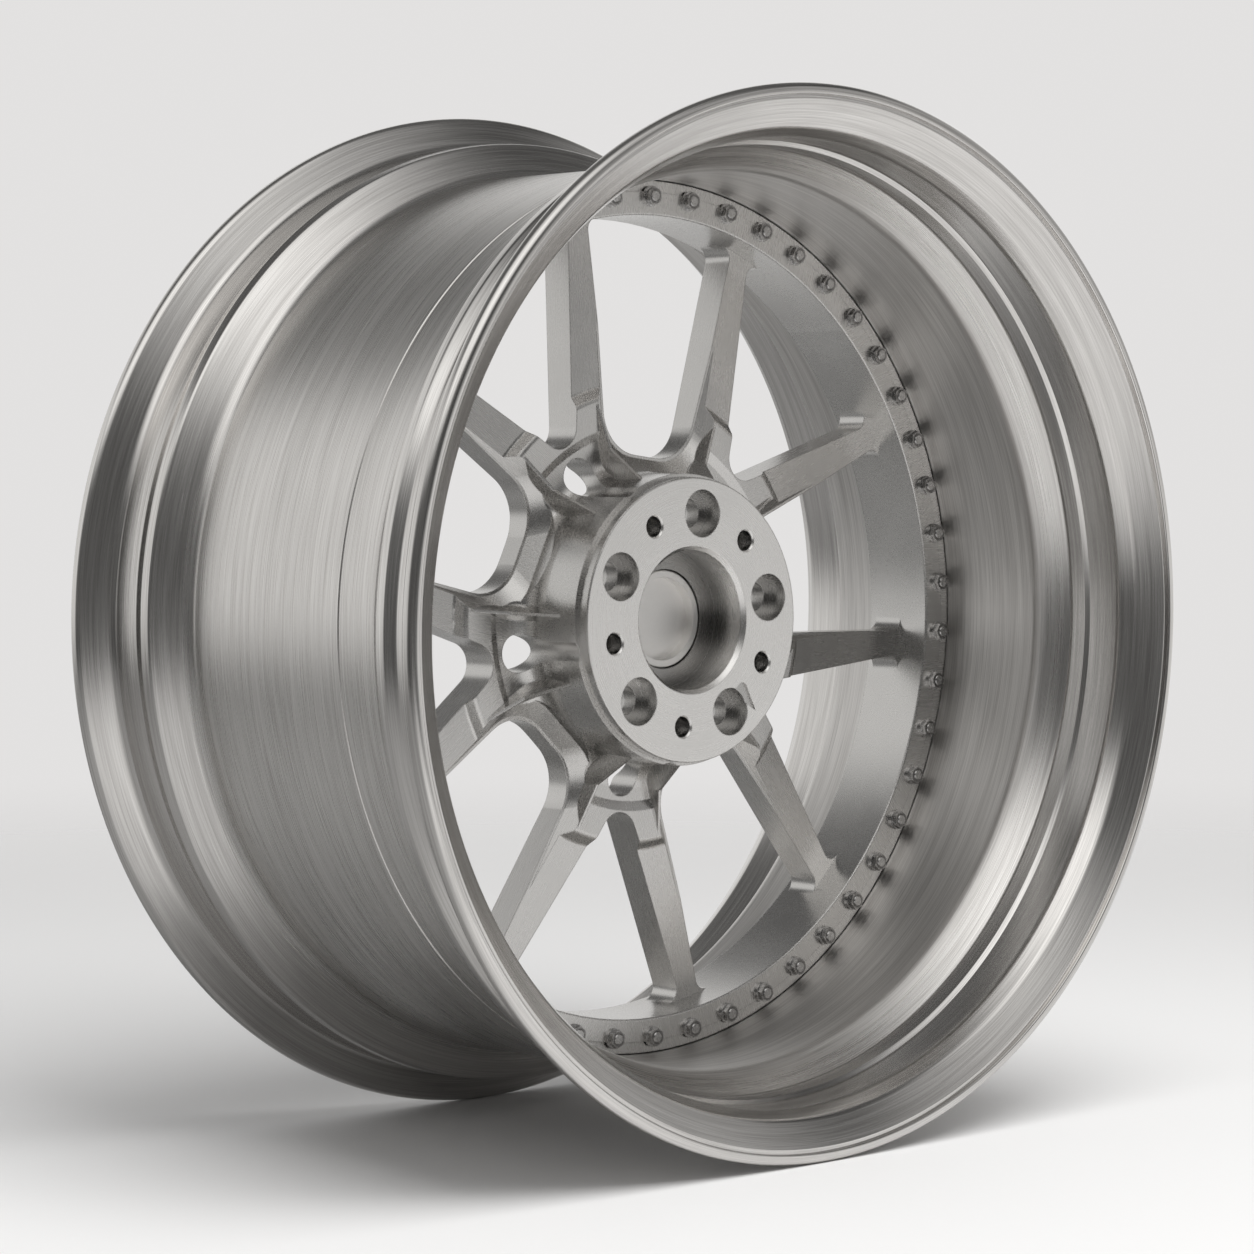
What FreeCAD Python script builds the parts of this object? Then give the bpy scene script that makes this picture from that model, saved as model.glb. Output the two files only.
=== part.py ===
import FreeCAD, Part
import math
import os
import Sketcher
from types import SimpleNamespace

# Three-piece car wheel, 20 by 10 inches. Millimetres. The wheel turns about Y, +Z is up, and the origin is
# the wheel's centre, midway between its lips. The hub pad faces -Y (inboard, to the car) and +Y is outboard.

SIZES = {
    # both rim halves: sizes across go in from the rim's outer edge, insets along go in from the lip's face
    "rim_radius": 271.3, "lip_face": 137.3, "lip_thickness": 7.5, "lip_round": 3.6, "lip_bead_height": 5.8,
    "lip_groove_width": 2.2, "lip_groove_depth": 2.0, "dish_depth": 8.8, "dish_height": 13.6,
    "dish_round": 7.0, "lip_height": 17.3, "seat_corner_inset": 14.8, "seat_corner_round": 5.0,
    "seat_end_inset": 33.3, "seat_fall": 1.5,
    "hump_height": 3.0, "hump_middle_inset": 40.3, "hump_end_inset": 46.3, "hump_round": 4.0,
    "well_depth": 17.5, "inboard_well_inset": 69.3, "outboard_well_inset": 57.3, "well_wall": 5.7,
    "well_round": 8.0, "well_slope_lead": 2.6,
    "seat_wall": 9.0, "throat_start_inset": 19.3, "throat_end_inset": 39.3, "throat_step": 2.0,
    "inner_round": 9.0,
    "scribe_place": 40.0, "scribe_width": 1.6, "scribe_depth": 0.5,
    "valve_hole_radius": 5.65, "valve_hole_place": 40.0,
    # joint of the two halves and the centre
    "joint_plane": 13.0, "half_flange_thickness": 6.0, "flange_root_round": 2.0,
    "seal_inset": 3.5, "seal_section": 1.1, "seal_groove_depth": 2.0,
    # bolt flange and hoop of the centre
    "hoop_inset": 10.0, "hoop_wall": 3.5, "hoop_end": 38.0, "hoop_clearance": 0.3,
    "flange_thickness": 12.0, "flange_clearance": 0.6,
    "land_width": 12.3, "land_height": 1.0, "land_edge": 1.0,
    # hub
    "pad_face": 37.0, "pad_margin": 18.5, "pad_edge": 0.8, "collar_height": 7.0, "collar_step": 2.0,
    "bore_radius": 36.55, "bore_depth": 22.0, "bore_chamfer": 2.25, "bore_shoulder": 10.35,
    "hub_face": 3.0, "hub_face_margin": 2.5, "hub_dish_width": 14.0, "cap_flange_recess": 3.0,
    "hub_foot_round": 14.0,
    "lug_circle": 112.0, "lug_count": 5, "lug_hole_radius": 7.5, "lug_entry_radius": 12.5,
    "lug_entry_depth": 11.0, "lug_seat_depth": 19.5, "lug_seat_radius": 13.0, "lug_seat_length": 9.5,
    "lug_socket_radius": 14.5,
    "tapped_hole_radius": 5.2, "tapped_hole_depth": 13.0, "tapped_hole_chamfer": 0.9, "drill_point": 3.0,
    "mark_depth": 1.2, "mark_inset": 7.5, "mark_length": 18.5, "mark_width": 11.0, "mark_round": 3.6,
    "mark_angle": 266.0,
    # spokes: faces are measured from the middle plane towards outboard, reaches from the pad's edge
    "spoke_angle": 47.0, "floor_face": 7.0, "floor_reach": 23.0, "saddle_face": 5.0, "saddle_length": 21.5,
    "saddle_slope": 5.0, "saddle_round": 4.0, "leg_face": 9.5, "leg_round": 4.0, "foot_face": 15.0,
    "spoke_back": 25.0, "foot_back": 34.0, "foot_overlap": 1.5, "foot_round": 7.0,
    "crotch_reach": 17.2, "crotch_half_angle": 30.5, "crotch_round": 12.0,
    "gap_reach": 11.5, "gap_half_width": 28.0, "gap_half_angle": 11.9, "gap_round": 25.0,
    "ledge_face": 11.5, "ledge_width": 1.5, "ledge_spread": 9.0, "window_overrun": 9.0,
    "web_hole_radius": 10.0, "web_hole_reach": 10.5,
    "ridge_hub_reach": -3.5, "ridge_bend_reach": 15.5, "ridge_end_reach": 40.0, "ridge_spread": 17.2,
    "ridge_angle": 15.5, "ridge_inner_width": 4.0, "ridge_outer_width": 5.5, "ridge_crest": 0.8,
    "ridge_hub_face": -23.0, "ridge_bend_face": 0.5, "ridge_end_sink": 0.3, "ridge_root": 5.0,
    # fasteners
    "bolt_inset": 8.8, "bolt_count": 50, "bolt_radius": 3.0, "bolt_hole_clearance": 0.1,
    "thread_clearance": 0.05, "bolt_end": 0.6, "bolt_point": 0.5,
    "head_flange_radius": 5.8, "head_flange_height": 1.8, "head_point_radius": 4.8, "head_notch_radius": 4.3,
    "head_height": 6.0, "head_points": 12, "washer_radius": 6.2, "washer_thickness": 1.2,
    "nut_flange_radius": 5.4, "nut_flange_height": 1.3, "nut_corner_radius": 4.9, "nut_height": 4.0,
    "nut_corners": 6,
    # centre cap
    "cap_clearance": 0.3, "cap_face_height": 1.0, "cap_dish_radius": 22.0, "cap_dish_depth": 5.0,
    "cap_wall": 4.0, "cap_flange_width": 6.0, "cap_skirt_end": 14.0, "cap_floor": 8.0,
    "cap_ring_place": 10.5, "cap_ring_section": 1.2, "cap_ring_depth": 1.8, "cap_edge": 1.0,
}


class Size:
    """A value of the sheet, or a sum of several.

    Its text goes into expressions, and its number into first guesses."""

    def __init__(self, text, number):
        self.text = text
        self.number = number

    def joined(self, sign, other, number):
        return Size(f"({self.text} {sign} {text_of(other)})", number)

    def __add__(self, other):
        return self.joined("+", other, self.number + number_of(other))

    def __sub__(self, other):
        return self.joined("-", other, self.number - number_of(other))

    def __mul__(self, other):
        return self.joined("*", other, self.number * number_of(other))

    def __truediv__(self, other):
        return self.joined("/", other, self.number / number_of(other))

    def __neg__(self):
        return Size(f"(-1 * {self.text})", -self.number)

    def tangent(self):
        return Size(f"tan({self.text} * 1 deg)", math.tan(math.radians(self.number)))


def text_of(value):
    return value.text if isinstance(value, Size) else repr(value)


def number_of(value):
    return value.number if isinstance(value, Size) else value


doc = FreeCAD.newDocument("car_wheel")
sheet = doc.addObject("Spreadsheet::Sheet", "Sizes")
for row, (name, value) in enumerate(SIZES.items(), start=1):
    sheet.set(f"A{row}", name)
    sheet.set(f"B{row}", str(value))
    sheet.setAlias(f"B{row}", name)
doc.recompute()
s = SimpleNamespace(**{name: Size(f"Sizes.{name}", value) for name, value in SIZES.items()})


def new_body(label):
    body = doc.addObject("PartDesign::Body", label)
    body.Label = label
    return body


def origin_feature(body, role):
    return next(feature for feature in body.Origin.OriginFeatures if feature.Role == role)


def new_sketch(body, name, role, level=None):
    """A sketch on one of the body's own planes, lifted along that plane's normal by level."""
    sketch = body.newObject("Sketcher::SketchObject", name)
    sketch.AttachmentSupport = [(origin_feature(body, role), "")]
    sketch.MapMode = "FlatFace"
    if level is not None:
        sketch.setExpression("AttachmentOffset.Base.z", level.text)
    return sketch


def bind(sketch, kind, size, *elements):
    index = sketch.addConstraint(Sketcher.Constraint(kind, *elements, number_of(size)))
    if isinstance(size, Size):
        sketch.setExpression(f"Constraints[{index}]", size.text)


def place_point(sketch, element, position, corner):
    bind(sketch, "DistanceX", corner[0], -1, 1, element, position)
    bind(sketch, "DistanceY", corner[1], -1, 1, element, position)


def outline(sketch, corners):
    """Draw a closed outline. A corner is (across, along), or (across, along, round) for a tangent arc."""
    points = [FreeCAD.Vector(number_of(corner[0]), number_of(corner[1])) for corner in corners]
    count = len(points)
    starts, ends, turns = [], [], []
    for index, corner in enumerate(corners):
        here = points[index]
        before = (points[index - 1] - here).normalize()
        after = (points[(index + 1) % count] - here).normalize()
        reach = 0
        if len(corner) > 2:
            half = before.getAngle(after) / 2
            reach = number_of(corner[2]) / math.tan(half)
        ends.append(here + before * reach)
        starts.append(here + after * reach)
        turns.append(before.cross(after).z)
    lines = []
    for index in range(count):
        segment = Part.LineSegment(starts[index], ends[(index + 1) % count])
        lines.append(sketch.addGeometry(segment, False))
    for index, corner in enumerate(corners):
        line_in, line_out = lines[index - 1], lines[index]
        if len(corner) == 2:
            sketch.addConstraint(Sketcher.Constraint("Coincident", line_in, 2, line_out, 1))
            place_point(sketch, line_out, 1, corner)
            continue
        first, last = ends[index], starts[index]
        if turns[index] > 0:
            first, last = last, first
        bisector = ((ends[index] - points[index]) + (starts[index] - points[index])).normalize()
        radius = number_of(corner[2])
        run = (ends[index] - points[index]).Length
        middle = points[index] + bisector * math.hypot(radius, run)
        angles = [math.atan2(point.y - middle.y, point.x - middle.x) for point in (first, last)]
        circle = Part.Circle(middle, FreeCAD.Vector(0, 0, 1), radius)
        arc = sketch.addGeometry(Part.ArcOfCircle(circle, angles[0], angles[1]), False)
        arc_start = 2 if turns[index] > 0 else 1
        sketch.addConstraint(Sketcher.Constraint("Tangent", line_in, 2, arc, arc_start))
        sketch.addConstraint(Sketcher.Constraint("Tangent", arc, 3 - arc_start, line_out, 1))
        point = sketch.addGeometry(Part.Point(points[index]), True)
        sketch.addConstraint(Sketcher.Constraint("PointOnObject", point, 1, line_in))
        sketch.addConstraint(Sketcher.Constraint("PointOnObject", point, 1, line_out))
        place_point(sketch, point, 1, corner)
        bind(sketch, "Radius", corner[2], arc)


def add_circle(sketch, across, along, radius):
    middle = FreeCAD.Vector(number_of(across), number_of(along))
    circle = Part.Circle(middle, FreeCAD.Vector(0, 0, 1), number_of(radius))
    element = sketch.addGeometry(circle, False)
    place_point(sketch, element, 3, (across, along))
    bind(sketch, "Radius", radius, element)


def turned(body, kind, name, corners, axis_place=None):
    """Turn an outline (radius, along Y) about the wheel's axis, or about a parallel line at axis_place."""
    sketch = new_sketch(body, name + "Profile", "XY_Plane")
    outline(sketch, corners)
    axis = "V_Axis"
    if axis_place is not None:
        foot = FreeCAD.Vector(number_of(axis_place), 0)
        line = Part.LineSegment(foot, foot + FreeCAD.Vector(0, 1))
        element = sketch.addGeometry(line, True)
        place_point(sketch, element, 1, (axis_place, 0))
        place_point(sketch, element, 2, (axis_place, 1))
        axis = "Axis0"
    feature = body.newObject("PartDesign::" + kind, name)
    feature.Profile = sketch
    feature.ReferenceAxis = (sketch, [axis])
    feature.Angle = 360
    doc.recompute()
    return feature


def cut_through(body, name, sketch, both_ways):
    """Cut a sketch on the wheel's plane right through, or only from the sketch towards the hub pad."""
    feature = body.newObject("PartDesign::Pocket", name)
    feature.Profile = sketch
    feature.Type = "ThroughAll"
    feature.Midplane = both_ways
    feature.Reversed = not both_ways
    doc.recompute()
    return feature


def repeat(body, name, features, count):
    pattern = body.newObject("PartDesign::PolarPattern", name)
    pattern.Originals = features
    pattern.Axis = (origin_feature(body, "Y_Axis"), [""])
    pattern.Angle = 360
    pattern.setExpression("Occurrences", count.text)
    body.Tip = pattern
    doc.recompute()
    return pattern


def turn_to(body, angle):
    """Turn a finished body about the wheel's axis, from +X towards +Z."""
    turning = FreeCAD.Rotation(FreeCAD.Vector(0, -1, 0), angle.number)
    body.Placement = FreeCAD.Placement(FreeCAD.Vector(), turning)
    body.setExpression("Placement.Rotation.Angle", angle.text)


seat_radius = s.rim_radius - s.lip_height
well_radius = seat_radius - s.well_depth
well_inside = well_radius - s.well_wall
bolt_place = well_inside - s.bolt_inset
hoop_radius = bolt_place - s.hoop_inset
half_flange_radius = hoop_radius + s.hoop_wall + s.hoop_clearance
seal_circle = well_radius - s.seal_inset
bolt_hole_radius = s.bolt_radius + s.bolt_hole_clearance
inner_joint = s.joint_plane - s.half_flange_thickness
outer_joint = s.joint_plane + s.half_flange_thickness
land_face = inner_joint - s.flange_thickness
flange_relief = s.flange_root_round + s.hoop_clearance
flange_edge = well_inside - s.flange_clearance


def bolt_holes(body):
    sketch = new_sketch(body, "BoltHoles", "XZ_Plane")
    add_circle(sketch, bolt_place, 0, bolt_hole_radius)
    hole = cut_through(body, "BoltHole", sketch, True)
    repeat(body, "BoltHoleRing", [hole], s.bolt_count)


def rim_half(label, side, joint_face, well_inset):
    """One spun and turned shell, from the joint of the halves out to its lip."""
    body = new_body(label)
    bead = s.rim_radius - s.lip_bead_height
    groove_face = s.lip_face - s.lip_groove_depth
    dish_edge = bead - s.lip_groove_width
    dish_end = dish_edge - s.dish_height
    seat_end = s.lip_face - s.seat_end_inset
    hump_end = s.lip_face - s.hump_end_inset
    hump_top = seat_radius - s.seat_fall + s.hump_height
    hump_shoulder = hump_top - s.seat_fall / 2
    well_end = s.lip_face - well_inset
    throat_radius = seat_radius - s.seat_wall
    throat_end = s.lip_face - s.throat_end_inset
    shelf_radius = throat_radius - s.throat_step
    inner_slope_start = well_end + s.well_slope_lead
    well_slope = (hump_end - well_end) / (hump_shoulder - well_radius)
    shelf_end = inner_slope_start + (shelf_radius - well_inside) * well_slope
    turned(body, "Revolution", "Shell", [
        (well_radius, s.joint_plane),
        (well_radius, well_end * side, s.well_round),
        (hump_shoulder, hump_end * side, s.hump_round / 2),
        (hump_top, (s.lip_face - s.hump_middle_inset) * side, s.hump_round),
        (seat_radius - s.seat_fall, seat_end * side, s.hump_round),
        (seat_radius, (s.lip_face - s.seat_corner_inset) * side, s.seat_corner_round),
        (s.rim_radius, (s.lip_face - s.lip_thickness) * side, s.lip_round),
        (s.rim_radius, s.lip_face * side, s.lip_round),
        (bead, s.lip_face * side, s.lip_groove_depth / 2),
        (bead, groove_face * side),
        (dish_edge, groove_face * side),
        (dish_end, (groove_face - s.dish_depth) * side, s.dish_round),
        (throat_radius, (s.lip_face - s.throat_start_inset) * side, s.dish_round),
        (throat_radius, throat_end * side),
        (shelf_radius, (throat_end - s.throat_step) * side),
        (shelf_radius, shelf_end * side, s.hump_round),
        (well_inside, inner_slope_start * side, s.inner_round),
        (well_inside, joint_face, s.flange_root_round),
        (half_flange_radius + flange_relief, joint_face),
        (half_flange_radius, joint_face - flange_relief * side),
        (half_flange_radius, s.joint_plane),
    ])
    bolt_holes(body)
    return body


inboard_half = rim_half("inboard_rim_half", -1, inner_joint, s.inboard_well_inset)
turned(inboard_half, "Groove", "ScribeLine", [
    (well_radius - s.scribe_depth, -s.scribe_place - s.scribe_width / 2),
    (well_radius + s.scribe_depth, -s.scribe_place - s.scribe_width),
    (well_radius + s.scribe_depth, -s.scribe_place + s.scribe_width),
    (well_radius - s.scribe_depth, -s.scribe_place + s.scribe_width / 2),
])
turned(inboard_half, "Groove", "SealGroove", [
    (seal_circle - s.seal_section, s.joint_plane - s.seal_groove_depth),
    (seal_circle + s.seal_section, s.joint_plane - s.seal_groove_depth),
    (seal_circle + s.seal_section, s.joint_plane + s.seal_section),
    (seal_circle - s.seal_section, s.joint_plane + s.seal_section),
])
turn_to(inboard_half, s.spoke_angle)

outboard_half = rim_half("outboard_rim_half", 1, outer_joint, s.outboard_well_inset)
valve_sketch = new_sketch(outboard_half, "ValveHoleCircle", "YZ_Plane")
add_circle(valve_sketch, s.valve_hole_place, 0, s.valve_hole_radius)
valve_hole = outboard_half.newObject("PartDesign::Pocket", "ValveHole")
valve_hole.Profile = valve_sketch
valve_hole.Type = "ThroughAll"
valve_hole.Reversed = True
turn_to(outboard_half, s.spoke_angle)

seal_body = new_body("rim_seal_ring")
turned(seal_body, "Revolution", "Cord", [
    (seal_circle - s.seal_section, s.joint_plane - s.seal_groove_depth, s.seal_section / 2),
    (seal_circle + s.seal_section, s.joint_plane - s.seal_groove_depth, s.seal_section / 2),
    (seal_circle + s.seal_section, s.joint_plane, s.seal_section / 2),
    (seal_circle - s.seal_section, s.joint_plane, s.seal_section / 2),
])

# The centre is one forging: hub, spoke disc with its windows, hoop and bolt flange.
centre = new_body("wheel_centre")
pad = -s.pad_face
pad_radius = s.lug_circle / 2 + s.pad_margin
hub_face_radius = pad_radius - s.hub_face_margin
bore_floor = pad + s.bore_depth
cap_bore_radius = s.bore_radius - s.bore_shoulder
cap_recess_radius = cap_bore_radius + s.cap_flange_width
cap_recess_floor = s.hub_face - s.cap_flange_recess
collar_radius = pad_radius + s.collar_step
floor_end = pad_radius + s.floor_reach
saddle_end = floor_end + s.saddle_length
foot_end = hoop_radius + s.foot_overlap
turned(centre, "Revolution", "SpokeDisc", [
    (cap_bore_radius, bore_floor),
    (s.bore_radius, bore_floor),
    (s.bore_radius, pad + s.bore_chamfer),
    (s.bore_radius + s.bore_chamfer, pad),
    (pad_radius, pad, s.pad_edge),
    (pad_radius, pad + s.collar_height),
    (collar_radius, pad + s.collar_height),
    (collar_radius, s.floor_face, s.hub_foot_round),
    (floor_end, s.floor_face),
    (floor_end + s.saddle_slope, s.saddle_face),
    (saddle_end, s.saddle_face, s.saddle_round),
    (saddle_end + s.saddle_slope, s.leg_face, s.leg_round / 2),
    (foot_end, s.foot_face),
    (foot_end, s.foot_back),
    (hub_face_radius + s.hub_dish_width, s.spoke_back, s.leg_round),
    (hub_face_radius, s.hub_face, s.leg_round),
    (cap_recess_radius, s.hub_face),
    (cap_recess_radius, cap_recess_floor),
    (cap_bore_radius, cap_recess_floor),
])

window_end = hoop_radius + s.window_overrun
crotch_place = pad_radius + s.crotch_reach
crotch_width = (window_end - crotch_place) * s.crotch_half_angle.tangent()
crotch_sketch = new_sketch(centre, "CrotchWindow", "XZ_Plane")
outline(crotch_sketch, [
    (crotch_place, 0.0, s.crotch_round),
    (window_end, crotch_width),
    (window_end, -crotch_width),
])
crotch = cut_through(centre, "CrotchCut", crotch_sketch, True)
repeat(centre, "CrotchCuts", [crotch], s.lug_count)

# The windows between the spokes are on the far side from the first spoke. A slope runs along their edges,
# from a narrow ledge up to the saddle, and the hub's foot is cut back to the top of that slope.
gap_spread = s.gap_half_angle.tangent()
gap_place = pad_radius + s.gap_reach


def gap_outline(name, margin, level=None):
    """The window's outline, or one that lies outside it by a margin."""
    sketch = new_sketch(centre, name, "XZ_Plane", level)
    place = gap_place - margin
    half_width = s.gap_half_width + margin - gap_spread * margin
    end_width = half_width + (window_end - place) * gap_spread
    outline(sketch, [
        (-place, half_width, s.gap_round),
        (-place, -half_width, s.gap_round),
        (-window_end, -end_width),
        (-window_end, end_width),
    ])
    return sketch


gap = cut_through(centre, "GapCut", gap_outline("GapWindow", 0.0), True)
repeat(centre, "GapCuts", [gap], s.lug_count)

slope = centre.newObject("PartDesign::SubtractiveLoft", "LedgeSlope")
slope.Profile = gap_outline("LedgeOutline", s.ledge_width, -s.ledge_face)
slope_top = gap_outline("SlopeTop", s.ledge_spread, -s.saddle_face)
slope.Sections = [slope_top]
slope.Ruled = True
doc.recompute()
foot_cut = cut_through(centre, "HubFootCut", slope_top, False)
repeat(centre, "LedgeCuts", [slope, foot_cut], s.lug_count)


def ridge_section(name, side, reach, crest_face, root_face):
    """A slice of a ridge: its narrow crest, and its root inside the spoke."""
    sketch = new_sketch(centre, name, "YZ_Plane", pad_radius + reach)
    crest = s.ridge_spread + (reach - s.ridge_hub_reach) * s.ridge_angle.tangent()
    outline(sketch, [
        (root_face, (crest - s.ridge_inner_width) * side),
        (crest_face, (crest - s.ridge_crest) * side),
        (crest_face, (crest + s.ridge_crest) * side),
        (root_face, (crest + s.ridge_outer_width) * side),
    ])
    return sketch


def spoke_ridge(name, side):
    """A ridge along one side of the first spoke, from the hub's drum down to the end of the saddle."""
    ridge = centre.newObject("PartDesign::AdditiveLoft", name)
    ridge.Profile = ridge_section(
        name + "Hub", side, s.ridge_hub_reach, s.ridge_hub_face, s.hub_face - s.ridge_crest)
    ridge.Sections = [
        ridge_section(
            name + "Bend", side, s.ridge_bend_reach, s.ridge_bend_face, s.floor_face + s.ridge_root),
        ridge_section(
            name + "End", side, s.ridge_end_reach, s.saddle_face + s.ridge_end_sink,
            s.leg_face + s.ridge_root),
    ]
    ridge.Ruled = True
    doc.recompute()
    return ridge


ridges = [spoke_ridge("UpperRidge", 1), spoke_ridge("LowerRidge", -1)]
repeat(centre, "Ridges", ridges, s.lug_count)

turned(centre, "Revolution", "BoltFlange", [
    (hoop_radius, land_face, s.land_edge),
    (hoop_radius + s.land_width, land_face),
    (hoop_radius + s.land_width, land_face + s.land_height),
    (flange_edge, land_face + s.land_height),
    (flange_edge, inner_joint - flange_relief),
    (flange_edge - flange_relief, inner_joint),
    (hoop_radius + s.hoop_wall, inner_joint, s.flange_root_round),
    (hoop_radius + s.hoop_wall, s.hoop_end),
    (hoop_radius, s.hoop_end),
])
bolt_holes(centre)

# Where each leg runs into the hoop, its two upright corners are rounded.
drilled_centre = centre.Tip
foot_edges = []
for index, edge in enumerate(drilled_centre.Shape.Edges, start=1):
    ends = [vertex.Point for vertex in edge.Vertexes]
    if len(ends) < 2 or edge.Curve.TypeId != "Part::GeomLine":
        continue
    if min(end.y for end in ends) < s.leg_face.number:
        continue
    if all(abs(math.hypot(end.x, end.z) - hoop_radius.number) < s.hoop_clearance.number for end in ends):
        foot_edges.append(f"Edge{index}")
feet = centre.newObject("PartDesign::Fillet", "FootRounds")
feet.Base = (drilled_centre, foot_edges)
feet.setExpression("Radius", s.foot_round.text)
centre.Tip = feet
doc.recompute()

lug_place = -s.lug_circle / 2
lug_seat = pad + s.lug_seat_depth
lug_hole = turned(centre, "Groove", "LugHole", [
    (lug_place, pad),
    (lug_place + s.lug_entry_radius, pad),
    (lug_place + s.lug_entry_radius, pad + s.lug_entry_depth),
    (lug_place + s.lug_hole_radius, pad + s.lug_entry_depth),
    (lug_place + s.lug_hole_radius, lug_seat),
    (lug_place + s.lug_seat_radius, lug_seat + s.lug_seat_length),
    (lug_place + s.lug_socket_radius, lug_seat + s.lug_seat_length),
    (lug_place + s.lug_socket_radius, s.spoke_back),
    (lug_place, s.spoke_back),
], lug_place)
repeat(centre, "LugHoles", [lug_hole], s.lug_count)

tapped_place = s.lug_circle / 2
tapped_hole = turned(centre, "Groove", "TappedHole", [
    (tapped_place, pad),
    (tapped_place + s.tapped_hole_radius + s.tapped_hole_chamfer, pad),
    (tapped_place + s.tapped_hole_radius, pad + s.tapped_hole_chamfer),
    (tapped_place + s.tapped_hole_radius, pad + s.tapped_hole_depth),
    (tapped_place, pad + s.tapped_hole_depth + s.drill_point),
], tapped_place)
repeat(centre, "TappedHoles", [tapped_hole], s.lug_count)

mark_sketch = new_sketch(centre, "MarkOutline", "XZ_Plane", s.pad_face - s.mark_depth)
mark_sketch.setExpression("AttachmentOffset.Rotation.Angle", s.mark_angle.text)
mark_place = s.lug_circle / 2 - s.mark_inset
outline(mark_sketch, [
    (mark_place + s.mark_length, 0.0),
    (mark_place, s.mark_width / 2, s.mark_round),
    (mark_place, -s.mark_width / 2, s.mark_round),
])
cut_through(centre, "MarkCut", mark_sketch, False)

web_sketch = new_sketch(centre, "WebHoleCircle", "XZ_Plane")
add_circle(web_sketch, pad_radius + s.web_hole_reach, 0, s.web_hole_radius)
web_hole = cut_through(centre, "WebHole", web_sketch, True)
repeat(centre, "WebHoles", [web_hole], s.lug_count)
turn_to(centre, s.spoke_angle)


def ring_of(label, parts):
    """A group of like fasteners: the first one's features, repeated round the bolt circle as solids."""
    body = new_body(label)
    body.AllowCompound = True
    features = parts(body)
    repeat(body, "Ring", features, s.bolt_count)
    turn_to(body, s.spoke_angle)
    return body


head_seat = outer_joint + s.washer_thickness
nut_top = land_face - s.nut_height
bolt_tip = nut_top - s.bolt_end


def round_points(middle, radii, count):
    """Corners round a fastener's axis, with the radii taken in turn."""
    corners = []
    for index in range(count):
        angle = 2 * math.pi * index / count
        radius = radii[index % len(radii)]
        corners.append((middle + radius * math.cos(angle), radius * math.sin(angle)))
    return corners


def prism(body, name, level, height, corners, upward):
    """A straight-sided wrench form from a level along the axis, towards outboard or towards the hub pad."""
    sketch = new_sketch(body, name + "Outline", "XZ_Plane", -level)
    outline(sketch, corners)
    feature = body.newObject("PartDesign::Pad", name)
    feature.Profile = sketch
    feature.setExpression("Length", height.text)
    feature.Reversed = upward
    doc.recompute()
    return feature


def bolt_parts(body):
    flange_top = head_seat + s.head_flange_height
    shank = turned(body, "Revolution", "Bolt", [
        (bolt_place, bolt_tip),
        (bolt_place + s.bolt_radius - s.bolt_point, bolt_tip),
        (bolt_place + s.bolt_radius, bolt_tip + s.bolt_point),
        (bolt_place + s.bolt_radius, head_seat),
        (bolt_place + s.head_flange_radius, head_seat),
        (bolt_place + s.head_flange_radius, flange_top),
        (bolt_place, flange_top + s.bolt_point),
    ], bolt_place)
    head_corners = 2 * SIZES["head_points"]
    head_points = round_points(bolt_place, [s.head_point_radius, s.head_notch_radius], head_corners)
    head = prism(body, "TwelvePoint", head_seat, s.head_height, head_points, True)
    return [shank, head]


def nut_parts(body):
    thread = s.bolt_radius + s.thread_clearance
    flange_top = land_face - s.nut_flange_height
    nut_points = round_points(bolt_place, [s.nut_corner_radius], SIZES["nut_corners"])
    hexagon = prism(body, "Hexagon", land_face, s.nut_height, nut_points, False)
    flange = turned(body, "Revolution", "NutFlange", [
        (bolt_place + thread, land_face),
        (bolt_place + s.nut_flange_radius, land_face),
        (bolt_place + s.nut_flange_radius, flange_top),
        (bolt_place + thread, flange_top - s.bolt_point),
    ], bolt_place)
    bore = turned(body, "Groove", "NutThread", [
        (bolt_place, land_face),
        (bolt_place + thread, land_face),
        (bolt_place + thread, nut_top),
        (bolt_place, nut_top),
    ], bolt_place)
    return [hexagon, flange, bore]


def washer_parts(body):
    return [turned(body, "Revolution", "Washer", [
        (bolt_place + bolt_hole_radius, outer_joint),
        (bolt_place + s.washer_radius, outer_joint),
        (bolt_place + s.washer_radius, head_seat),
        (bolt_place + bolt_hole_radius, head_seat),
    ], bolt_place)]


ring_of("assembly_bolts", bolt_parts)
ring_of("bolt_washers", washer_parts)
ring_of("assembly_nuts", nut_parts)

cap = new_body("centre_cap")
cap_skirt = cap_bore_radius - s.cap_clearance
cap_face = s.hub_face + s.cap_face_height
ring_floor = cap_skirt - s.cap_ring_depth
turned(cap, "Revolution", "CapTurning", [
    (0.0, -s.cap_floor),
    (cap_skirt - s.cap_wall, -s.cap_floor),
    (cap_skirt - s.cap_wall, -s.cap_skirt_end),
    (cap_skirt, -s.cap_skirt_end, s.cap_edge),
    (cap_skirt, -s.cap_ring_place - s.cap_ring_section),
    (ring_floor, -s.cap_ring_place - s.cap_ring_section),
    (ring_floor, -s.cap_ring_place + s.cap_ring_section),
    (cap_skirt, -s.cap_ring_place + s.cap_ring_section),
    (cap_skirt, cap_recess_floor),
    (cap_recess_radius - s.cap_clearance, cap_recess_floor),
    (cap_recess_radius - s.cap_clearance, cap_face, s.cap_edge),
    (s.cap_dish_radius, cap_face),
    (s.cap_dish_radius - s.cap_wall, cap_face - s.cap_dish_depth),
    (0.0, cap_face - s.cap_dish_depth),
])

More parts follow.
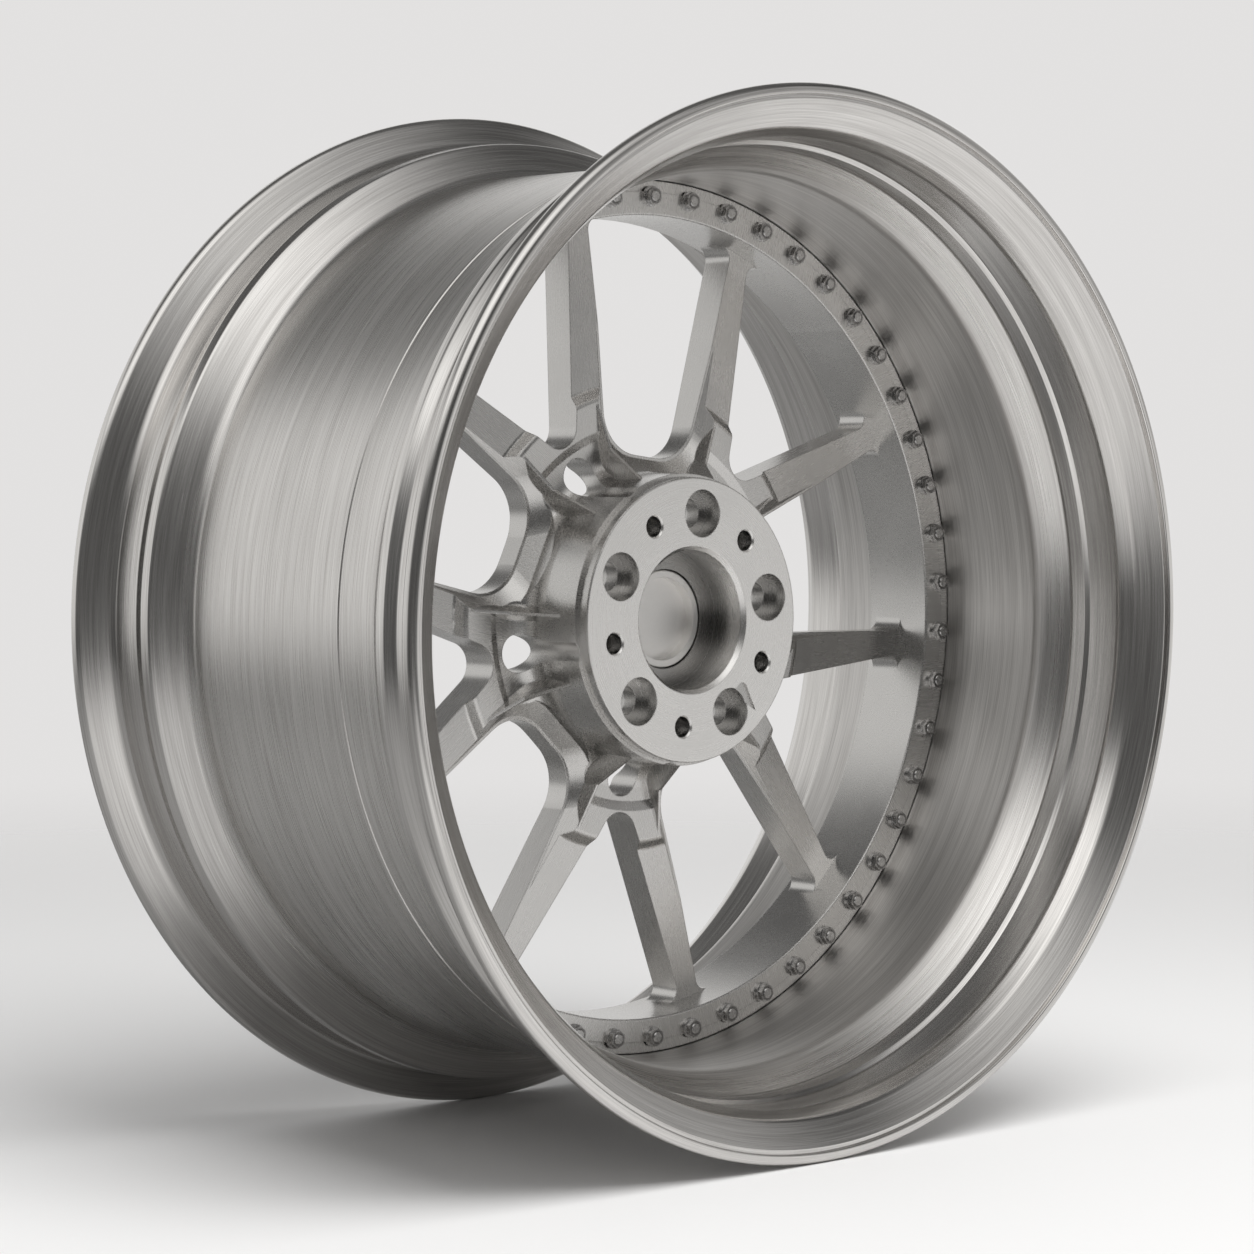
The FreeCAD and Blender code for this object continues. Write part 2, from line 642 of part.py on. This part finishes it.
ring_body = new_body("cap_o_ring")
turned(ring_body, "Revolution", "Ring", [
    (ring_floor, -s.cap_ring_place - s.cap_ring_section, s.cap_ring_section / 2),
    (cap_bore_radius, -s.cap_ring_place - s.cap_ring_section, s.cap_ring_section / 2),
    (cap_bore_radius, -s.cap_ring_place + s.cap_ring_section, s.cap_ring_section / 2),
    (ring_floor, -s.cap_ring_place + s.cap_ring_section, s.cap_ring_section / 2),
])

doc.recompute()
bodies = [item for item in doc.Objects if item.TypeId == "PartDesign::Body"]
for item in doc.Objects:
    if "Invalid" in item.State or "Error" in item.State:
        raise RuntimeError(f"{item.Label} failed: {item.State}")
for body in bodies:
    if body.Shape.isNull() or not body.Shape.isValid():
        raise RuntimeError(f"{body.Label} has no valid shape")
os.makedirs("parts", exist_ok=True)
for body in bodies:
    body.Shape.exportStep(f"parts/{body.Label}.step")
    print(body.Label, len(body.Shape.Solids), "solids", round(body.Shape.Volume / 1000, 1), "cm3")
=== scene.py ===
import math

import bpy
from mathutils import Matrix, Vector


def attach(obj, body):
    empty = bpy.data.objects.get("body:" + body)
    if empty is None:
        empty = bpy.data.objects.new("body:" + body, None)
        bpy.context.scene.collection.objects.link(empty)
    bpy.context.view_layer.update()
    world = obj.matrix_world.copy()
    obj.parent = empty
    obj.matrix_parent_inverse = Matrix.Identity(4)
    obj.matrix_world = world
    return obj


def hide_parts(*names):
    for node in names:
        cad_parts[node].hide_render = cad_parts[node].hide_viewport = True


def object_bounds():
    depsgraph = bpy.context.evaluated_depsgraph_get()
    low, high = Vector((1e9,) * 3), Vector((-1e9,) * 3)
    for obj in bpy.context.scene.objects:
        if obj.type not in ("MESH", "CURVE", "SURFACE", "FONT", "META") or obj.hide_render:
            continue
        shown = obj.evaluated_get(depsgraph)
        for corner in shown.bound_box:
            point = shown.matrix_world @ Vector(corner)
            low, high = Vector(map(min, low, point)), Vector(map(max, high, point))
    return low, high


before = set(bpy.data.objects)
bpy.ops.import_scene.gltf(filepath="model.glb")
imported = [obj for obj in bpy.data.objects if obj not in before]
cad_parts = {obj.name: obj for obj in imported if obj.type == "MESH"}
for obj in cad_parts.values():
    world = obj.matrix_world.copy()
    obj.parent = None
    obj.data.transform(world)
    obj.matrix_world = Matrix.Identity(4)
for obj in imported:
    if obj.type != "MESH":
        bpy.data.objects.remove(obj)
cad_low, cad_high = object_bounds()

# Wheel centre: one aluminium forging, milled to its five forked spokes and left bare.
# The hub pad is faced on a lathe, the arms carry the lengthwise marks of the cutter.


class Value:
    """One socket of a node tree; arithmetic on it adds Math nodes."""

    def __init__(self, bench, socket):
        self.bench = bench
        self.socket = socket

    def maths(self, operation, first, second=0.0):
        return self.bench.node("ShaderNodeMath", {"operation": operation}, {0: first, 1: second})

    def __add__(self, other):
        return self.maths("ADD", self, other)

    def __sub__(self, other):
        return self.maths("SUBTRACT", self, other)

    def __rsub__(self, other):
        return self.maths("SUBTRACT", other, self)

    def __mul__(self, other):
        return self.maths("MULTIPLY", self, other)

    def __truediv__(self, other):
        return self.maths("DIVIDE", self, other)

    def __pow__(self, other):
        return self.maths("POWER", self, other)

    def __abs__(self):
        return self.maths("ABSOLUTE", self)

    __radd__ = __add__
    __rmul__ = __mul__


class Bench:
    """A node tree, to which one method adds every node."""

    def __init__(self, tree):
        self.tree = tree

    def node(self, kind, settings, sockets, output=0):
        made = self.tree.nodes.new(kind)
        for name, setting in settings.items():
            setattr(made, name, setting)
        for name, value in sockets.items():
            if isinstance(value, Value):
                self.tree.links.new(value.socket, made.inputs[name])
            else:
                made.inputs[name].default_value = value
        return Value(self, made.outputs[output]) if made.outputs else None


class Finish(Bench):
    """The nodes of a material or of the studio, with places in the wheel's own frame."""

    def __init__(self, owner):
        self.owner = owner
        owner.use_nodes = True
        super().__init__(owner.node_tree)
        self.tree.nodes.clear()

    def axes(self):
        """Object coordinates as three values: across, along the axle, up."""
        place = self.node("ShaderNodeTexCoord", {}, {}, "Object")
        return [self.node("ShaderNodeSeparateXYZ", {}, {0: place}, axis) for axis in "XYZ"]

    def fade(self, value, start, end, low=0.0, high=1.0):
        """A smooth change from low to high as value goes from start to end."""
        settings = {"interpolation_type": "SMOOTHSTEP"}
        return self.node("ShaderNodeMapRange", settings, {0: value, 1: start, 2: end, 3: low, 4: high})

    def noise(self, first, second, third, fourth, detail=2.0):
        vector = self.node("ShaderNodeCombineXYZ", {}, {0: first, 1: second, 2: third})
        sockets = {"Vector": vector, "W": fourth, "Scale": 1.0, "Detail": detail, "Roughness": 0.6}
        return self.node("ShaderNodeTexNoise", {"noise_dimensions": "4D"}, sockets)

    def tint(self, share, dark, light):
        settings = {"data_type": "RGBA"}
        return self.node("ShaderNodeMix", settings, {0: share, 6: (*dark, 1.0), 7: (*light, 1.0)}, 2)

    def metal(self, colour, roughness, height, depth, edge_round=None):
        """Closes the finish as bare metal, with its marks as relief and its edges broken."""
        relief_sockets = {"Strength": 1.0, "Distance": depth, "Height": height}
        if edge_round:
            relief_sockets["Normal"] = self.node("ShaderNodeBevel", {"samples": 3}, {"Radius": edge_round})
        relief = self.node("ShaderNodeBump", {}, relief_sockets)
        sockets = {"Base Color": colour, "Metallic": 1.0, "Roughness": roughness, "Normal": relief}
        shader = self.node("ShaderNodeBsdfPrincipled", {}, sockets)
        self.node("ShaderNodeOutputMaterial", {}, {"Surface": shader})

    def put_on(self, *nodes):
        for name in nodes:
            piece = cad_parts[name]
            piece.data.materials.clear()
            piece.data.materials.append(self.owner)


SPOKES = 5
SPOKE_ANGLE = math.radians(47)
LEG_LEAN = math.radians(27)
PAD_RADIUS = 0.0745
PAD_FACE = -0.0370
BORE_RADIUS = 0.03655
BORE_FLOOR = -0.0150
HOLES_INNER_REACH = 0.0430
MARK_STRETCH = 45
MARK_PITCH = 1400
FACING_PITCH = 1500
PATCH_PITCH = 22

milled = Finish(bpy.data.materials.new("milled_aluminium"))
x, y, z = milled.axes()
radius = (x * x + z * z) ** 0.5
angle = milled.node("ShaderNodeMath", {"operation": "ARCTAN2"}, {0: z, 1: x}) - SPOKE_ANGLE
sector = 2 * math.pi / SPOKES
turns = milled.node("ShaderNodeMath", {"operation": "ROUND"}, {0: angle / sector})
swing = angle - turns * sector
outwards = radius * milled.node("ShaderNodeMath", {"operation": "COSINE"}, {0: swing})
sideways = abs(radius * milled.node("ShaderNodeMath", {"operation": "SINE"}, {0: swing}))
along = outwards * math.cos(LEG_LEAN) + sideways * math.sin(LEG_LEAN)
across = sideways * math.cos(LEG_LEAN) - outwards * math.sin(LEG_LEAN)
cutter_marks = milled.noise(along * MARK_STRETCH, across * MARK_PITCH, y * MARK_PITCH, turns, 3.0)
turned_marks = milled.noise(y * FACING_PITCH, radius * FACING_PITCH, x / radius * 4, z / radius * 4, 3.0)
on_pad = milled.fade(radius, PAD_RADIUS, PAD_RADIUS - 0.001)
marks = cutter_marks + (turned_marks - cutter_marks) * on_pad
patches = milled.noise(x * PATCH_PITCH, y * PATCH_PITCH, z * PATCH_PITCH, 0.0, 3.0)

# Little light reaches into the stud holes and the deep end of the bore.
in_holes = milled.fade(radius, HOLES_INNER_REACH, HOLES_INNER_REACH + 0.002) * on_pad
in_holes = in_holes * milled.fade(y, PAD_FACE + 0.0004, PAD_FACE + 0.0014) * milled.fade(y, 0.0, -0.004)
in_bore = milled.fade(radius, BORE_RADIUS + 0.0010, BORE_RADIUS + 0.0003)
in_bore = in_bore * milled.fade(y, PAD_FACE + 0.003, BORE_FLOOR)
shine = ((marks + patches) * 0.24 + 0.50) * (1 - in_holes * 0.45) * (1 - in_bore * 0.68)
shine = shine * (on_pad * 0.22 + 0.78)
milled.metal(
    milled.tint(shine, (0.10, 0.096, 0.09), (0.98, 0.965, 0.945)),
    roughness=marks * 0.12 + patches * 0.10 + 0.16,
    height=marks,
    depth=0.00003,
    edge_round=0.0008,
)
milled.put_on("wheel_centre")

# Rim halves: two shells spun from aluminium plate and turned in the lathe, bolted back to back.
# The tool leaves fine rings all round, closest on the outside of the drop well.

LIP_RADIUS = 0.2713
LIP_FACE = 0.1373
LIP_BACK = 0.1298
LIP_ROUND = 0.0036
LIP_STEP_OUTSIDE = 0.2655
LIP_STEP_INSIDE = 0.2633
LIP_STEP_FACE = 0.1353
SEAT_OUTER_RADIUS = 0.2540
SEAT_OUTER_END = 0.1225
SEAT_INNER_RADIUS = 0.2525
SEAT_INNER_END = 0.1040
HUMP_RADIUS = 0.2555
HUMP_PLACE = 0.0970
HUMP_SHOULDER = 0.25475
HUMP_START = 0.0910
WELL_OUTSIDE = 0.2365
WELL_INSIDE = 0.2308
WELL_WALL = 0.0026
MOUTH_RADIUS = 0.2497
MOUTH_PLACE = 0.1265
THROAT = 0.2450
THROAT_START = 0.1180
THROAT_END = 0.0980
SHELF = 0.2430
SHELF_START = 0.0960
FLANGE_HOLE = 0.2158
FLANGE_RELIEF = 0.0023
JOINT = 0.0130
MIDDLE_RADIUS = 0.2400
TURN_STEPS = 360
CORNER_STEPS = 6
CREASE_ANGLE = math.radians(30)
FINE_PITCH = 2200
BROAD_PITCH = 260

turned = Finish(bpy.data.materials.new("brushed_aluminium"))
x, y, z = turned.axes()
radius = (x * x + z * z) ** 0.5
round_x = x / radius
round_z = z / radius
fine_rings = turned.noise(y * FINE_PITCH, radius * FINE_PITCH, round_x * 5, round_z * 5, 2.0)
broad_rings = turned.noise(y * BROAD_PITCH, radius * BROAD_PITCH, round_x * 1.5, round_z * 1.5, 3.0)
rings = fine_rings * 0.6 + broad_rings * 0.4
in_well = turned.fade(abs(y), 0.100, 0.075)
well_inside = in_well * turned.fade(radius, WELL_OUTSIDE - 0.0015, WELL_INSIDE + 0.0012)
turned.metal(
    turned.tint(turned.fade(rings, 0.3, 0.7), (0.50, 0.485, 0.47), (0.80, 0.785, 0.765)),
    roughness=rings * 0.16 + in_well * 0.08 + well_inside * 0.16 + 0.12,
    height=rings,
    depth=0.00004,
)

lathe = Bench(bpy.data.node_groups.new("lathe", "GeometryNodeTree"))
lathe_inputs = {}
for name, kind in (
    ("Profile", "NodeSocketGeometry"),
    ("Middle Radius", "NodeSocketFloat"),
    ("Steps", "NodeSocketInt"),
    ("Corner Steps", "NodeSocketInt"),
    ("Crease Angle", "NodeSocketFloat"),
    ("Metal", "NodeSocketMaterial"),
):
    socket = lathe.tree.interface.new_socket(name, in_out="INPUT", socket_type=kind)
    lathe_inputs[name] = socket.identifier
lathe.tree.interface.new_socket("Shell", in_out="OUTPUT", socket_type="NodeSocketGeometry")
given = {name: lathe.node("NodeGroupInput", {}, {}, name) for name in lathe_inputs}
corner_radius = lathe.node("GeometryNodeInputRadius", {}, {})
profile = lathe.node(
    "GeometryNodeFilletCurve",
    {"mode": "POLY"},
    {"Curve": given["Profile"], "Count": given["Corner Steps"], "Radius": corner_radius},
)
profile = lathe.node("GeometryNodeSetCurveRadius", {}, {"Curve": profile, "Radius": 1.0})
circle = lathe.node(
    "GeometryNodeCurvePrimitiveCircle", {}, {"Resolution": given["Steps"], "Radius": given["Middle Radius"]}
)
circle = lathe.node("GeometryNodeSetCurveNormal", {"mode": "Z_UP"}, {"Curve": circle})
shell = lathe.node("GeometryNodeCurveToMesh", {}, {"Curve": circle, "Profile Curve": profile})
shell = lathe.node("GeometryNodeTransform", {}, {"Geometry": shell, "Rotation": (math.pi / 2, 0, 0)})
shell = lathe.node("GeometryNodeMergeByDistance", {}, {"Geometry": shell, "Distance": 0.000001})
shell = lathe.node("GeometryNodeSetShadeSmooth", {"domain": "FACE"}, {"Geometry": shell})
bend = lathe.node("GeometryNodeInputMeshEdgeAngle", {}, {})
crease = lathe.node(
    "FunctionNodeCompare", {"operation": "GREATER_THAN"}, {0: bend, 1: given["Crease Angle"]}
)
shell = lathe.node(
    "GeometryNodeSetShadeSmooth",
    {"domain": "EDGE"},
    {"Geometry": shell, "Selection": crease, "Shade Smooth": False},
)
shell = lathe.node("GeometryNodeRealizeInstances", {}, {"Geometry": shell})
shell = lathe.node("GeometryNodeSetMaterial", {}, {"Geometry": shell, "Material": given["Metal"]})
lathe.node("NodeGroupOutput", {}, {"Shell": shell})


def turn_shell(name, side, well_end, joint_face, scribe, drill=None):
    """One half on the lathe: corners as radius, place on the axle and rounding; side is -1 inboard."""
    well_slope = (HUMP_START - well_end) / (HUMP_SHOULDER - WELL_OUTSIDE)
    slope_start = well_end + WELL_WALL
    shelf_end = slope_start + (SHELF - WELL_INSIDE) * well_slope
    corners = [
        (WELL_OUTSIDE, JOINT, 0),
        *scribe,
        (WELL_OUTSIDE, well_end * side, 0.008),
        (HUMP_SHOULDER, HUMP_START * side, 0.002),
        (HUMP_RADIUS, HUMP_PLACE * side, 0.004),
        (SEAT_INNER_RADIUS, SEAT_INNER_END * side, 0.004),
        (SEAT_OUTER_RADIUS, SEAT_OUTER_END * side, 0.005),
        (LIP_RADIUS, LIP_BACK * side, LIP_ROUND),
        (LIP_RADIUS, LIP_FACE * side, LIP_ROUND),
        (LIP_STEP_OUTSIDE, LIP_FACE * side, 0.001),
        (LIP_STEP_OUTSIDE, LIP_STEP_FACE * side, 0),
        (LIP_STEP_INSIDE, LIP_STEP_FACE * side, 0),
        (MOUTH_RADIUS, MOUTH_PLACE * side, 0.007),
        (THROAT, THROAT_START * side, 0.007),
        (THROAT, THROAT_END * side, 0),
        (SHELF, SHELF_START * side, 0),
        (SHELF, shelf_end * side, 0.004),
        (WELL_INSIDE, slope_start * side, 0.009),
        (WELL_INSIDE, joint_face, 0.002),
        (FLANGE_HOLE + FLANGE_RELIEF, joint_face, 0),
        (FLANGE_HOLE, joint_face - FLANGE_RELIEF * side, 0),
        (FLANGE_HOLE, JOINT, 0),
    ]
    outline = bpy.data.curves.new(name, "CURVE")
    outline.dimensions = "3D"
    spline = outline.splines.new("POLY")
    spline.points.add(len(corners) - 1)
    spline.use_cyclic_u = True
    for point, (radius, along, rounding) in zip(spline.points, corners[::side]):
        point.co = (radius - MIDDLE_RADIUS, along, 0, 1)
        point.radius = rounding
    blank = bpy.data.objects.new(name + "_blank", outline)
    bpy.context.scene.collection.objects.link(blank)
    lathing = blank.modifiers.new("lathe", "NODES")
    lathing.node_group = lathe.tree
    lathing[lathe_inputs["Middle Radius"]] = MIDDLE_RADIUS
    lathing[lathe_inputs["Steps"]] = TURN_STEPS
    lathing[lathe_inputs["Corner Steps"]] = CORNER_STEPS
    lathing[lathe_inputs["Crease Angle"]] = CREASE_ANGLE
    lathing[lathe_inputs["Metal"]] = turned.owner
    depsgraph = bpy.context.evaluated_depsgraph_get()
    half = bpy.data.objects.new(name, bpy.data.meshes.new_from_object(blank.evaluated_get(depsgraph)))
    bpy.context.scene.collection.objects.link(half)
    bpy.data.objects.remove(blank)
    if drill:
        drilling = half.modifiers.new("drill", "BOOLEAN")
        drilling.object = drill
        depsgraph = bpy.context.evaluated_depsgraph_get()
        half.data = bpy.data.meshes.new_from_object(half.evaluated_get(depsgraph))
        half.modifiers.clear()
        bpy.data.objects.remove(drill)
    return half


SCRIBE_PLACE = -0.0400
SCRIBE_DEPTH = 0.0005
SCRIBE_TOP = 0.0012
SCRIBE_BOTTOM = 0.0008
scribe_line = [
    (WELL_OUTSIDE, SCRIBE_PLACE + SCRIBE_TOP, 0),
    (WELL_OUTSIDE - SCRIBE_DEPTH, SCRIBE_PLACE + SCRIBE_BOTTOM, 0),
    (WELL_OUTSIDE - SCRIBE_DEPTH, SCRIBE_PLACE - SCRIBE_BOTTOM, 0),
    (WELL_OUTSIDE, SCRIBE_PLACE - SCRIBE_TOP, 0),
]
inboard_shell = turn_shell(
    "inboard_shell", side=-1, well_end=0.068, joint_face=0.007, scribe=scribe_line
)
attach(inboard_shell, "root")
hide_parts("inboard_rim_half")

VALVE_RADIUS = 0.00565
VALVE_PLACE = 0.0400
DRILL_LENGTH = 0.04
valve_way = Vector((math.cos(SPOKE_ANGLE), 0, math.sin(SPOKE_ANGLE)))
bpy.ops.mesh.primitive_cylinder_add(
    vertices=64,
    radius=VALVE_RADIUS,
    depth=DRILL_LENGTH,
    location=valve_way * WELL_OUTSIDE + Vector((0, VALVE_PLACE, 0)),
    rotation=valve_way.to_track_quat("Z", "Y").to_euler(),
)
outboard_shell = turn_shell(
    "outboard_shell", side=1, well_end=0.080, joint_face=0.019, scribe=[], drill=bpy.context.object
)
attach(outboard_shell, "root")
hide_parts("outboard_rim_half")

# Seal ring: a band of black rubber squeezed into the groove between the two halves.
# Its moulded skin is dull, with a faint dust of talc.

rubber = Finish(bpy.data.materials.new("seal_rubber"))
x, y, z = rubber.axes()
grain = rubber.noise(x * 900, y * 900, z * 900, 0.0, 3.0)
skin = rubber.node("ShaderNodeBump", {}, {"Strength": 0.4, "Distance": 0.0001, "Height": grain})
sockets = {
    "Base Color": rubber.tint(grain, (0.012, 0.012, 0.013), (0.035, 0.034, 0.033)),
    "Roughness": grain * 0.2 + 0.6,
    "Normal": skin,
}
rubber.node(
    "ShaderNodeOutputMaterial", {}, {"Surface": rubber.node("ShaderNodeBsdfPrincipled", {}, sockets)}
)
rubber.put_on("rim_seal_ring")

# Bolts, washers and nuts: fifty sets of bright zinc-plated steel round the joint.
# Rolled threads and pressed flanges, with painted shade in a dark ring round each bolt.

FASTENERS = 50
BOLT_CIRCLE = 0.222

plated = Finish(bpy.data.materials.new("fastener_steel"))
x, y, z = plated.axes()
radius = (x * x + z * z) ** 0.5
angle = plated.node("ShaderNodeMath", {"operation": "ARCTAN2"}, {0: z, 1: x}) - SPOKE_ANGLE
pitch = 2 * math.pi / FASTENERS
turns = plated.node("ShaderNodeMath", {"operation": "ROUND"}, {0: angle / pitch})
swing = angle - turns * pitch
from_bolt = ((radius - BOLT_CIRCLE) ** 2 + (swing * BOLT_CIRCLE) ** 2) ** 0.5
specks = plated.noise(x * 700, y * 700, z * 700, turns, 3.0)
# Painted shade: the colour darkens in a ring 2.4 to 4.6 mm from each bolt's axis.
painted_contact_shade = plated.fade(from_bolt, 0.0024, 0.0034) * plated.fade(from_bolt, 0.0046, 0.0036)
plated.metal(
    plated.tint(specks - painted_contact_shade * 0.5, (0.20, 0.195, 0.19), (0.72, 0.71, 0.70)),
    roughness=specks * 0.2 + 0.16,
    height=specks,
    depth=0.00002,
    edge_round=0.0003,
)
plated.put_on("assembly_bolts", "bolt_washers", "assembly_nuts")

# Centre cap: a shallow aluminium cup turned from bar and pressed into the hub bore.
# Its back is faced flat, so the rings run about the axle.

capped = Finish(bpy.data.materials.new("turned_cap_aluminium"))
x, y, z = capped.axes()
radius = (x * x + z * z) ** 0.5
facing_rings = capped.noise(y * 1800, radius * 1800, x / radius * 3, z / radius * 3, 2.0)
clouds = capped.noise(x * 60, y * 60, z * 60, 0.0, 3.0)
capped.metal(
    capped.tint(facing_rings * 0.4 + clouds * 0.6, (0.78, 0.765, 0.745), (0.95, 0.935, 0.915)),
    roughness=facing_rings * 0.12 + clouds * 0.1 + 0.36,
    height=facing_rings,
    depth=0.00002,
    edge_round=0.0004,
)
capped.put_on("centre_cap")

# Cap ring: the round rubber cord that grips the cap in its bore.
# It is moulded of the same rubber as the seal, and lies in a groove round the cap's skirt.

rubber.put_on("cap_o_ring")

# Floor: a pale seamless paper sheet, which runs out into the pale backdrop behind the wheel.
# Bare metal sees a painted darker floor, darkest to its left: painted shade in the floor's reflection.

FLOOR_LEVEL = cad_low.z
FLOOR_REACH = 4.0
RUN_OUT_START = 0.5
RUN_OUT_END = 2.4
ROOM_TURN = math.radians(42.4)

bpy.ops.mesh.primitive_circle_add(
    vertices=96, radius=FLOOR_REACH, fill_type="NGON", location=(0, 0, FLOOR_LEVEL)
)
floor = bpy.context.object
floor.name = "floor"
paper = Finish(bpy.data.materials.new("floor_paper"))
x, y, z = paper.axes()
fibres = paper.noise(x * 300, y * 300, z, 0.0, 3.0)
sheet = paper.node(
    "ShaderNodeBsdfPrincipled",
    {},
    {"Base Color": paper.tint(fibres, (0.79, 0.785, 0.78), (0.81, 0.805, 0.80)), "Roughness": 0.7},
)
clear = paper.node("ShaderNodeBsdfTransparent", {}, {})
in_metal = paper.node("ShaderNodeLightPath", {}, {}, "Is Glossy Ray")
# Painted reflection: rays from bare metal see a darker floor, with painted shade that deepens to the left.
leftwards = y * math.sin(ROOM_TURN) - x * math.cos(ROOM_TURN)
painted_left_shade = paper.fade(leftwards, -0.05, 0.35)
painted_reflected_floor = paper.node(
    "ShaderNodeBsdfPrincipled",
    {},
    {"Base Color": paper.tint(painted_left_shade, (0.72, 0.715, 0.71), (0.34, 0.338, 0.335)), "Roughness": 0.7},
)
sheet = paper.node("ShaderNodeMixShader", {}, {0: in_metal, 1: sheet, 2: painted_reflected_floor})
run_out = paper.fade((x * x + y * y) ** 0.5, RUN_OUT_START, RUN_OUT_END)
paper.node(
    "ShaderNodeOutputMaterial",
    {},
    {"Surface": paper.node("ShaderNodeMixShader", {}, {0: run_out, 1: sheet, 2: clear})},
)
floor.data.materials.append(paper.owner)

# Studio: a pale backdrop and one large soft box above the camera. Only bare metal shows the dark upper
# wall, the dark room behind the camera, the greyer right wall and the dark foot of the left one.

room = Finish(bpy.data.worlds.new("studio"))
bpy.context.scene.world = room.owner
direction = room.node("ShaderNodeTexCoord", {}, {}, "Generated")
ahead = room.node("ShaderNodeSeparateXYZ", {}, {0: direction}, "X") * math.sin(ROOM_TURN)
ahead = ahead + room.node("ShaderNodeSeparateXYZ", {}, {0: direction}, "Y") * math.cos(ROOM_TURN)
height = room.node("ShaderNodeSeparateXYZ", {}, {0: direction}, "Z")
to_right = room.node("ShaderNodeSeparateXYZ", {}, {0: direction}, "X") * math.cos(ROOM_TURN)
to_right = to_right + room.node("ShaderNodeSeparateXYZ", {}, {0: direction}, "Y") * -math.sin(ROOM_TURN)
upper_wall = room.fade(height, 0.46, 0.64) * room.fade(ahead, -0.20, 0.15)
behind_camera = room.fade(ahead, -0.05, -0.50) * room.fade(height, 0.60, 0.35)
right_wall = room.fade(to_right, 0.3, 0.8) * room.fade(height, 0.0, 0.10)
left_foot = room.fade(to_right, 0.2, -0.4) * room.fade(height, 0.02, -0.25)
bright = (1 - upper_wall * 0.85) * (1 - behind_camera * 0.86)
bright = bright * (1 - right_wall * 0.5) * (1 - left_foot * 0.80)
soft_box_patch = room.fade(ahead, -0.15, -0.45) * room.fade(height, 0.50, 0.70)
seen_in_metal = room.node(
    "ShaderNodeBackground",
    {},
    {
        "Color": room.tint(bright, (0.0, 0.0, 0.0), (0.82, 0.815, 0.805)),
        "Strength": soft_box_patch * 0.6 + 1.0,
    },
)
backdrop = room.node("ShaderNodeBackground", {}, {"Color": (0.765, 0.755, 0.75, 1.0), "Strength": 1.0})
fill = room.node("ShaderNodeBackground", {}, {"Color": (0.8, 0.8, 0.8, 1.0), "Strength": 0.55})
camera_ray = room.node("ShaderNodeLightPath", {}, {}, "Is Camera Ray")
glossy_ray = room.node("ShaderNodeLightPath", {}, {}, "Is Glossy Ray")
lit = room.node("ShaderNodeMixShader", {}, {0: glossy_ray, 1: fill, 2: seen_in_metal})
shown = room.node("ShaderNodeMixShader", {}, {0: camera_ray, 1: lit, 2: backdrop})
room.node("ShaderNodeOutputWorld", {}, {"Surface": shown})

KEY_PLACE = Vector((-0.16, -1.21, 2.2))
KEY_SIZE = 2.0
KEY_WATTS = 76

lamp = bpy.data.lights.new("key_box", "AREA")
lamp.shape = "RECTANGLE"
lamp.size = KEY_SIZE
lamp.size_y = KEY_SIZE
lamp.energy = KEY_WATTS
key_box = bpy.data.objects.new("key_box", lamp)
key_box.location = KEY_PLACE
key_box.rotation_euler = (-KEY_PLACE).to_track_quat("-Z", "Y").to_euler()
key_box.visible_glossy = False
bpy.context.scene.collection.objects.link(key_box)

# Camera: a long lens a little above the axle, turned to the hub side.
# Its place and turn were solved from the outlines of the two lips.

CAMERA_PLACE = Vector((-1.35204, -1.46410, 0.07930))
AZIMUTH = math.radians(-42.448)
ELEVATION = math.radians(2.415)
eye = bpy.data.cameras.new("camera")
eye.lens = 108.25
eye.sensor_width = 36.0
camera = bpy.data.objects.new("camera", eye)
camera.location = CAMERA_PLACE
forwards = Vector(
    (-math.sin(AZIMUTH) * math.cos(ELEVATION), math.cos(AZIMUTH) * math.cos(ELEVATION), -math.sin(ELEVATION))
)
camera.rotation_euler = forwards.to_track_quat("-Z", "Y").to_euler()
bpy.context.scene.collection.objects.link(camera)
bpy.context.scene.camera = camera
bpy.context.scene.view_settings.view_transform = "Standard"
